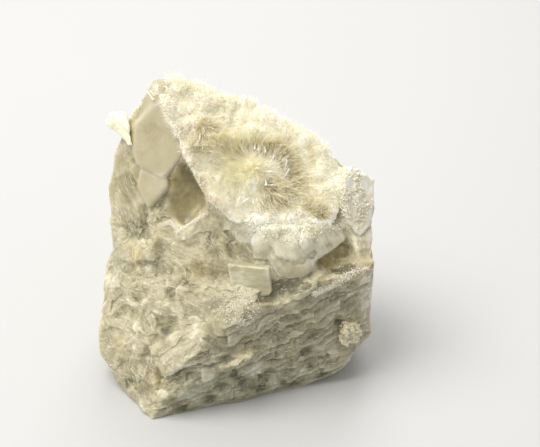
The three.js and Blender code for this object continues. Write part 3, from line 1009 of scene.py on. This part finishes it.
def growBed():
    piece = remeshed(mergedCopy("needle_druse", "druseBed"), crust["voxel"])
    mesh = piece.data
    p, n = pointsOf(mesh)
    n = unit(softened(mesh, n, 8))
    valley, mound, lip = zonesOf(p)
    far, _, _, _ = nearestCells(p + 0.8 * vectorNoise(p, 3, 405), crust["tuft"], 500)
    lift = 0.7 * fractal(p, 8, 410) + 0.35 * fractal(p, 3, 413) + (0.6 - 0.3 * lip) * (0.5 - far)
    lift += (0.16 * valueNoise(p, 1.1, 416) + 0.10 * valueNoise(p, 0.6, 417)) * (1 - 0.5 * lip)
    rim = rimOf(p + 0.6 * vectorNoise(p, 2, 407))
    lift += 0.6 * mound - 0.5 * valley + 0.5 * rim + 0.45 * lip
    lift += 1.6 * blob(p, *crust["peak"], 0.8)
    q = p + n * lift[:, None] + 0.5 * vectorNoise(p, 4, 418)
    setPoints(mesh, q)
    paint(mesh, "valley", valley)
    paint(mesh, "gold", 0.8 * mound + 0.3 * fractal(q, 7, 420, 2))
    # relief: how far each point stands out; the finish darkens the low places with it, partly painted
    # shade
    paint(mesh, "relief", 0.5 + 1.6 * standing(mesh, q, n, 6) + 0.7 * lip)
    paint(mesh, "rim", rim * smooth(fractal(q, 2.5, 423), -0.6, 0.1) * (1 - smooth(q[:, 2], 63, 68)))
    return piece


def growNeedles(bed, name, count, seed, stretch):
    random = np.random.default_rng(seed)
    outward = unit(crust["outward"])

    def weigh(p, n):  # few on the lip and the rim, and the long ones mostly in the valley
        valley, mound, lip = zonesOf(p)
        everywhere, low = (1, -0.5) if stretch == 1 else (0.08 + 0.3 * mound, 0.0)
        bare = (1 - 0.95 * lip) * (1 - 0.6 * rimOf(p))
        return smooth(n @ outward, low, low + 0.6) * bare * (everywhere + 0.5 * valley)

    at, n = scattered(bed.data, count, weigh, seed + 1)
    valley, mound, _ = zonesOf(at)
    n = unit(n + 0.6 * outward)
    # needles of one tuft lean away from its middle, and all of them away from the foci near them
    far, _, owner, away = nearestCells(at, crust["tuft"], 500)
    lean = crust["tuftLean"] * levelled(away, n)
    for focus, reach in crust["foci"]:
        gap = at - focus
        spread = np.linalg.norm(gap, axis=1)
        share = smooth(spread, 0.1 * reach, 0.6 * reach) * (1 - smooth(spread, reach, 1.3 * reach))
        lean += unit(levelled(gap, n)) * share[:, None]
    way = unit(n + lean + random.normal(size=(count, 3)) * crust["stray"])
    # they are shorter at the edge of a tuft, and each tuft has a length of its own
    tuft = (1.15 - 0.5 * np.clip(far, 0, 1)) * (0.75 + 0.5 * hashed(owner, 510))
    long = drawn(random, crust["length"], count, 1.5) * (1 + 1.1 * valley + 0.5 * mound) * tuft * stretch
    radii = drawn(random, crust["radius"], count, 2) * (1 + 0.2 * valley) * stretch**0.5
    gold = 0.2 + 0.7 * mound + 0.5 * fractal(at, 7, 420, 2) + 0.3 * valley
    marks = {"valley": valley, "gold": gold, "shade": random.random(count)}
    tips = at + way * long[:, None]
    return needlePiece(name, at - way * crust["sunk"], tips, radii, 3, [(0.3, 1.0)], random, marks)


def bedFinish():
    bed = Finish("needleBed", Roughness=0.5, Subsurface_Weight=0.3, Subsurface_Scale=0.001)
    colour = bed.mix(bed.mask("gold").between(0.1, 0.9), crust["white"], crust["gold"])
    colour = bed.mix(bed.mask("valley") * 0.9, colour, crust["olive"])
    relief = bed.mask("relief") + (bed.noise(0.9, 3, 0.7) - 0.5) * 0.5
    # the bed is darker and tan where it lies low: partly painted shade
    colour = bed.tint(relief.between(0.55, 0.15) * 0.7, colour, (0.72, 0.64, 0.40))
    colour = bed.tint(bed.mask("rim"), colour, (0.56, 0.47, 0.34))
    bed.feed("Base Color", colour)
    bed.bump(bed.noise(0.5, 3, 0.7), 0.12)
    return bed


def needleFinish():
    needle = Finish("needles", Roughness=0.25, IOR=1.6)
    root = needle.mix(needle.mask("valley"), crust["root"], crust["rootOlive"])
    tip = needle.mix(needle.mask("gold").between(0.3, 1.1), crust["tip"], crust["tipGold"])
    tip = needle.mix(needle.mask("valley") * needle.mask("shade"), tip, crust["tipOlive"])
    needle.feed("Base Color", needle.mix(needle.mask("along").between(0.0, 0.6), root, tip))
    return needle


# clear needles that stand out of the crust

clearNeedles = {
    # root and tip in mm
    "bars": [
        ((-1.4, 9.1, 64.5), (0.8, 9.6, 66.0)),
        ((0.4, 9.0, 63.9), (2.1, 9.4, 65.5)),
        ((9.1, 5.1, 58.3), (11.3, 8.5, 60.8)),
        ((9.4, 5.5, 58.5), (11.0, 8.2, 60.7)),
        ((14.1, 6.9, 56.9), (14.5, 8.2, 59.5)),
        ((14.2, 5.6, 55.8), (15.3, 6.5, 57.5)),
        ((8.4, 4.2, 57.8), (10.8, 3.5, 58.4)),
        ((8.7, 2.4, 56.3), (8.8, -0.1, 56.0)),
        ((5.7, 10.2, 62.8), (5.7, 7.4, 63.0)),
        ((6.5, 10.5, 62.5), (6.9, 7.4, 62.5)),
        ((8.4, 10.8, 61.9), (8.6, 7.7, 61.8)),
        ((14.1, 13.9, 64.0), (14.2, 14.5, 65.9)),
        ((-0.6, 14.8, 68.7), (-1.4, 14.6, 70.5)),
        ((-11.4, 6.6, 64.5), (-9.5, 6.1, 65.7)),
        ((2.8, -2.9, 52.7), (4.2, -3.3, 54.1)),
    ],
    "strays": 26,  # more of them, at random in the valley
    "strayLength": (1.8, 3.4),  # mm
    "strayLean": 0.35,  # how much they lean at random
    "strayWidth": 0.6,  # next to the others
    "radius": (0.18, 0.30),  # mm
    "lift": 0.7,  # mm, so that they clear the small needles
    "sunk": 0.8,  # mm that the roots go deeper
}


def growClearNeedles(bed):
    random = np.random.default_rng(31)
    lift = clearNeedles["lift"] * unit(crust["outward"])
    roots, tips = np.array(clearNeedles["bars"]).transpose(1, 0, 2) + lift
    count = clearNeedles["strays"]
    at, n = scattered(bed.data, count, lambda p, n: zonesOf(p)[0] * smooth(n[:, 2], 0.2, 0.6), 32)
    way = unit(n + random.normal(size=(count, 3)) * clearNeedles["strayLean"])
    roots = np.concatenate([roots, at])
    tips = np.concatenate([tips, at + way * drawn(random, clearNeedles["strayLength"], (count, 1))])
    radii = drawn(random, clearNeedles["radius"], len(roots))
    radii[-count:] *= clearNeedles["strayWidth"]
    roots = roots - clearNeedles["sunk"] * unit(tips - roots)
    rings = [(0.02, 0.7), (0.10, 1.0), (0.90, 0.85)]  # six flat sides with a short point at each end
    return needlePiece("clearNeedles", roots, tips, radii, 6, rings, random, {})


def clearNeedleFinish():
    needle = Finish("clearNeedle", Roughness=0.2, IOR=1.62, Transmission_Weight=0.1)
    needle.feed("Base Color", needle.mix(needle.mask("along"), (0.96, 0.95, 0.88), (1.0, 1.0, 0.98)))
    return needle


# grains of white sugar: cleavage rhombs sunk half into what they grew on

grain = {
    # three edges of a rhomb of unit size, 102 degrees apart
    "edges": [(1, 0, 0), (-0.21, 0.98, 0), (-0.21, -0.25, 0.94)],
    "uneven": (0.6, 1.2),  # each edge is drawn longer or shorter
    "lift": 0.12,  # how far the middle stands out, as a share of the size
    "dull": (0.93, 0.89, 0.74),
    "bright": (1.0, 0.98, 0.90),
    "through": (0.965, 0.935, 0.82),
    "share": 0.35,
    "roughness": 0.18,
}


def growGrains(name, base):
    made = sugarSets[name]
    count, seed = made["count"], made["seed"]
    random = np.random.default_rng(seed)
    at, n = scattered(base.data, count, made["share"], seed + 1)
    long = drawn(random, made["size"], count, 2)
    shape = drawn(random, grain["uneven"], (count, 3))
    axes = np.array(grain["edges"]) @ randomTurns(count, seed + 2)
    axes *= (long[:, None] * shape)[:, :, None]
    centres = at + n * (long * grain["lift"])[:, None]
    return show(name, rhombMesh(name, centres, axes, {"tone": random.random(count)}))


# the larger crystals: the CAD shape, grown until it fills its seat, with worn edges and fine striations

usualCrystal = {
    "slot": "clear_crystal",
    "voxel": 0.27,  # mm
    "grow": 0.35,  # mm
    "round": 1,  # rounds of softening
    "lumps": [],  # swellings: centre, radii and height in mm
    "crumbs": (3.0, 0.0),  # mm across and high
    "shades": [],  # as on the lump
    # edges: painted highlights along facet edges and over the shaded crease where it meets the stone
    "edges": [],  # lines along which it is paler
}
# way: the way that the striations run; relief: folds in mm, striations in mm, lean of the cleavage steps;
# colours: deep, body and pale; streak and cloud: how much the two patterns show
crystals = {
    "glassy_crystal": {
        "name": "glassyCrystal",
        "sugar": "glassySugar",
        "round": 9,
        "way": (0.71, 0.02, 0.71),
        "relief": (0.14, 0.012, 0.012),
        # painted highlights: the inner edge of the bevel, and the lower edges where the crystal meets the
        # stone
        "edges": [
            [
                (-29.6, 19.5, 61.2), (-26.7, 18.3, 65.9), (-24.0, 18.1, 69.6), (-21.1, 17.8, 71.9),
                (-18.1, 16.6, 74.2),
            ],
            [(-28.7, 14.4, 54.8), (-26.2, 10.8, 54.7), (-22.9, 8.7, 54.5), (-19.7, 6.2, 55.1)],
            [(-19.7, 6.2, 55.1), (-17.1, 7.0, 57.6), (-13.8, 8.4, 60.2)],
        ],
        "shades": [
            ((-27.5, 21.8, 66.8), (5, 5, 9), -0.16),  # the bevel
            ((-21.0, 5.5, 52.0), (5, 5, 6.0), 0.14),
            ((-22.5, 14.0, 64.5), (4.5, 5, 8), -0.14),
        ],
        "colours": [(0.46, 0.40, 0.22), (0.64, 0.575, 0.375), (0.78, 0.72, 0.56)],
        "streak": 0.15,
        "cloud": 0.4,
        "finish": {"Roughness": 0.25, "Transmission_Weight": 0.25},
    },
    "milky_crystal": {
        "name": "milkyCrystal",
        "sugar": "milkySugar",
        "grow": 0.4,
        "round": 7,
        "lumps": [
            ((7.7, -8.6, 43.5), (4, 4, 5), 0.6),
            ((17.6, -8.5, 44.2), (5.5, 4, 5), 1.3),
            ((16.8, -12.7, 36.5), (6, 4, 3), 0.5),
            ((12.5, -5.0, 47.0), (11, 4, 2.5), 1.2),
        ],
        "crumbs": (3.0, 0.15),
        "way": (0.55, -0.40, -0.75),
        "relief": (0.30, 0.06, 0.02),
        "shades": [
            ((7.7, -8.6, 40.5), (4, 4, 2.2), -0.20),
            ((5.5, -7.0, 45.0), (5, 4, 3.5), 0.40),
            # this row and the one at x 11.6: painted shade on the underside by the cave
            ((16.8, -12.7, 36.5), (8, 4, 3.5), -0.42),
            ((16.5, -8.5, 45.5), (5, 4, 3), 0.20),
            ((25.0, -5.0, 42.5), (7, 5, 5), -0.18),
            ((11.6, -12.1, 38.4), (4, 4, 3), -0.28),
            ((20.9, -10.3, 40.1), (4, 4, 3), 0.28),
        ],
        "colours": [(0.55, 0.49, 0.33), (0.82, 0.77, 0.58), (0.96, 0.93, 0.77)],
        "streak": 1.0,
        "cloud": 0.8,
        "finish": {"Roughness": 0.25, "Transmission_Weight": 0.2},
    },
    "cleavage_rhomb": {
        "name": "cleavageRhomb",
        "way": (0.97, -0.20, 0.03),
        "relief": (0.12, 0.04, 0.02),
        "shades": [((1.0, -13.5, 34.0), (6, 5, 5), 0.26), ((9.5, -14.0, 33.5), (3.5, 4, 3.5), -0.10)],
        "colours": [(0.40, 0.365, 0.20), (0.54, 0.50, 0.32), (0.76, 0.72, 0.53)],
        "streak": 0.8,
        "cloud": 0.6,
        "finish": {"Roughness": 0.28, "Transmission_Weight": 0.2},
    },
    "shoulder_crystal": {
        "name": "shoulderCrystal",
        "sugar": "shoulderSugar",
        "round": 4,
        "lumps": [((33.6, 4.3, 48.7), (4, 5, 6), 0.5), ((29.5, 3.0, 50.0), (3, 9, 9), 0.9)],
        "crumbs": (1.9, 0.6),
        "way": (-0.10, -0.68, -0.72),
        "relief": (0.25, 0.05, 0.03),
        # the upper part is painted paler: a painted glow for light that shines through it
        "shades": [((33.0, 6.5, 53.0), (6, 7, 8), 0.6), ((34.0, 1.0, 44.5), (6, 6, 5), -0.25)],
        "colours": [(0.80, 0.72, 0.52), (0.98, 0.90, 0.71), (1.0, 0.975, 0.85)],
        "streak": 0.8,
        "cloud": 1.1,
        "finish": {"Roughness": 0.25, "Transmission_Weight": 0.1, "Subsurface_Scale": 0.0025},
    },
    "cream_blade": {
        "name": "creamBlade",
        "slot": "cream_flake",
        "grow": 0.1,
        "lumps": [((-35.5, 21.0, 63.0), (3, 3, 2.5), 0.5)],
        "crumbs": (2.6, 0.5),
        "way": (0.70, -0.60, -0.75),
        "relief": (0.35, 0.28, 0.05),
        "colours": [(0.84, 0.76, 0.46), (0.95, 0.90, 0.66), (0.98, 0.96, 0.86)],
        "streak": 0.7,
        "cloud": 0.3,
        "finish": {"Roughness": 0.4},
    },
    "sugar_knob": {
        "name": "sugarKnob",
        "sugar": "knobSugar",
        "slot": "sugar_grains",
        "grow": 0.2,
        "round": 5,
        "crumbs": (1.8, 0.9),
        "way": (0.30, -0.30, -0.90),
        "relief": (0.5, 0.08, 0.10),
        # painted shade where the rim of its pocket overhangs the upper side
        "shades": [((28.5, -14.5, 18.5), (3, 4, 3.5), -0.4), ((30.0, -15.6, 16.0), (2, 3, 1.6), -0.25)],
        "colours": [(0.34, 0.29, 0.14), (0.60, 0.53, 0.32), (0.90, 0.84, 0.62)],
        "streak": 0.4,
        "cloud": 0.6,
        "finish": {"Roughness": 0.4},
    },
}


def growCrystal(node, made):
    piece = remeshed(mergedCopy(node, made["name"]), made["voxel"])
    mesh = piece.data
    p, n = pointsOf(mesh)
    n = unit(softened(mesh, n, 4))
    crumb, height = made["crumbs"]
    far, _, owner, _ = nearestCells(p + 0.6 * vectorNoise(p, 2.5, 90), crumb, 89)
    lift = made["grow"] + blobs(p, made["lumps"], 0.8) + height * (0.55 - far)
    q = softened(mesh, p + n * lift[:, None], made["round"])
    bent = q + vectorNoise(q, 6, 88)
    flow = inStrands(bent, unit(made["way"]), 6)
    fold, strand, lean = made["relief"]
    lift = fold * fractal(q, 5, 91) + strand * fractal(flow / 1.6, 1.0, 93, 2)
    lift += cleaved(bent, 2.6, lean, 95, 8.0, turned(9))
    q += n * lift[:, None]
    setPoints(mesh, q)
    # paler where it stands out and a little darker in creases, partly painted shade
    tone = 0.5 + 1.5 * np.clip(standing(mesh, q, n, 6), -0.04, 0.14) + 0.1 * (hashed(owner, 97) - 0.5)
    tone += blobs(q + 0.8 * vectorNoise(q, 3, 96), made["shades"])
    # painted highlight along each listed edge
    for edge in made["edges"]:
        tone += 0.25 * (1 - smooth(nearLine(q, edge), 0.3, 1.4))
    paint(mesh, "tone", tone)
    paintFlow(mesh, flow)
    return piece


def crystalFinish(made):
    usual = {**calcite, "Subsurface_Weight": 0.6, "Subsurface_Scale": 0.002}
    crystal = Finish(made["name"], **{**usual, **made["finish"]})
    streak = crystal.noise(1.0, 4, 0.65, where=crystal.mask("flow", "Vector"))
    cloud = crystal.noise(3.5, 4, 0.6)
    tone = crystal.mask("tone") + (streak - 0.5) * made["streak"] + (cloud - 0.5) * made["cloud"]
    deep, body, pale = made["colours"]
    crystal.feed("Base Color", crystal.ramp(tone, deep, (0.1, 0.55, body), (0.5, 0.95, pale)))
    crystal.bump(streak * made["streak"] + cloud * 0.5, 0.10)
    return crystal


# cracks inside the glassy crystal that shine white: both ends and the width in mm
glints = [
    ((-24.1, 24.0, 72.0), (-21.9, 18.2, 72.5), 0.32),
    ((-23.0, 22.4, 73.0), (-21.6, 19.1, 73.3), 0.25),
    ((-21.4, 20.0, 74.0), (-21.0, 18.7, 74.0), 0.22),
]


def addGlints():
    outward = unit([-0.79, -0.24, 0.57])
    thick, lift = 0.6, 0.45  # mm, how deep a crack is and how far its middle stands out
    starts, ends, widths = (np.array(column) for column in zip(*glints))
    along = ends - starts
    across = unit(np.cross(along, outward)) * widths[:, None]
    axes = np.stack([along, across, across * 0 + outward * thick], axis=1)
    middles = (starts + ends) / 2 + outward * lift
    mesh = rhombMesh("crystalGlints", middles, axes, {"tone": np.ones(len(glints))})
    return show("crystalGlints", mesh)


# where the sugar lies: shares for scattered(), and the sets of grains


def onCrust(p, n):  # on the lip, and here and there at the edges of the crust
    valley, mound, lip = zonesOf(p)
    edge = smooth(fractal(p, 5, 440, 2), 0.1, 0.5) * (1 - mound) * (1 - valley)
    rim = rimOf(p) * (0.05 + 1.1 * smooth(p[:, 2], 66, 71))
    return (0.2 * lip + 0.35 * edge + rim) * smooth(n @ unit(crust["outward"]), 0.0, 0.4)


def onStone(p, n):  # along the veins, in three patches, and thinly elsewhere
    share = sum(1 - smooth(nearLine(p, line), 0.3 * radius, 1.6 * radius) for line, radius, _ in veins)
    share += blobs(p, sugarPatches, 1.0)
    share += 0.02 * smooth(fractal(p, 7, 445), 0.0, 0.8) * (1 - rightFaceOf(p, n))
    return share * smooth(p[:, 2], 1, 4)


def onShoulder(p, n):  # in patches on the shoulder crystal, and on the side next to the crust
    share = blob(p, (33.0, 4.0, 48.5), (6.0, 9, 12), 1.0) * smooth(fractal(p, 2.5, 450), -0.3, 0.4)
    return share + 0.5 * (1 - smooth(p[:, 0] + 0.3 * fractal(p, 2, 452), 29.5, 31.5))


def onGlassyTop(p, n):  # from the crust over the top of the glassy crystal
    rough = p + 0.8 * vectorNoise(p, 2, 454)
    return smooth(rough[:, 0] + 0.25 * (rough[:, 2] - 76), -19.6, -18.4) * smooth(rough[:, 2], 66, 69)


def onMilkyTop(p, n):
    return smooth(p[:, 2] + n[:, 2] * 2, 44.5, 48)


def onKnobFront(p, n):
    return smooth(-n[:, 1], 0, 0.5)


# sugar on the stone: centre, radii in mm, how much
sugarPatches = [
    ((0.4, -20.0, 30.7), (9, 7, 7), 0.25),
    ((1.8, -5.5, 46.2), (5, 4, 3.5), 0.8),
    ((31.5, -0.5, 46), (5, 4, 4), 0.5),
]
# sizes in mm
sugarSets = {
    "crustSugar": {"count": 2600, "share": onCrust, "seed": 700, "size": (0.2, 0.6)},
    "stoneSugar": {"count": 6000, "share": onStone, "seed": 710, "size": (0.12, 0.32)},
    "shoulderSugar": {"count": 4200, "share": onShoulder, "seed": 720, "size": (0.2, 0.7)},
    "knobSugar": {"count": 90, "share": onKnobFront, "seed": 730, "size": (0.25, 0.7)},
    "milkySugar": {"count": 500, "share": onMilkyTop, "seed": 740, "size": (0.2, 0.6)},
    "glassySugar": {"count": 900, "share": onGlassyTop, "seed": 750, "size": (0.2, 0.6)},
}


# everything in its place

addCamera()
addLight()
addFloor()

stone = carveLump()
finishPiece(stone, stoneFinish(), "massive_calcite", "matrix")
finishPiece(growSplinters(stone), speckFinish("paleSplinter", splinters), "massive_calcite", sharp=0)

bed = growBed()
finishPiece(bed, bedFinish(), "needle_aragonite", "needle_druse")
needles = needleFinish()
for name, made in needleSets.items():
    finishPiece(growNeedles(bed, name, **made), needles, "needle_aragonite", sharp=0)
finishPiece(growClearNeedles(bed), clearNeedleFinish(), "clear_crystal", sharp=0)

sugar = speckFinish("whiteSugar", grain)
finishPiece(growGrains("crustSugar", bed), sugar, "sugar_grains", sharp=0)
finishPiece(growGrains("stoneSugar", stone), sugar, "sugar_grains", sharp=0)
for node, made in crystals.items():
    made = {**usualCrystal, **made}
    piece = growCrystal(node, made)
    finishPiece(piece, crystalFinish(made), made["slot"], node)
    if "sugar" in made:
        finishPiece(growGrains(made["sugar"], piece), sugar, "sugar_grains", sharp=0)
finishPiece(addGlints(), sugar, "clear_crystal", sharp=0)
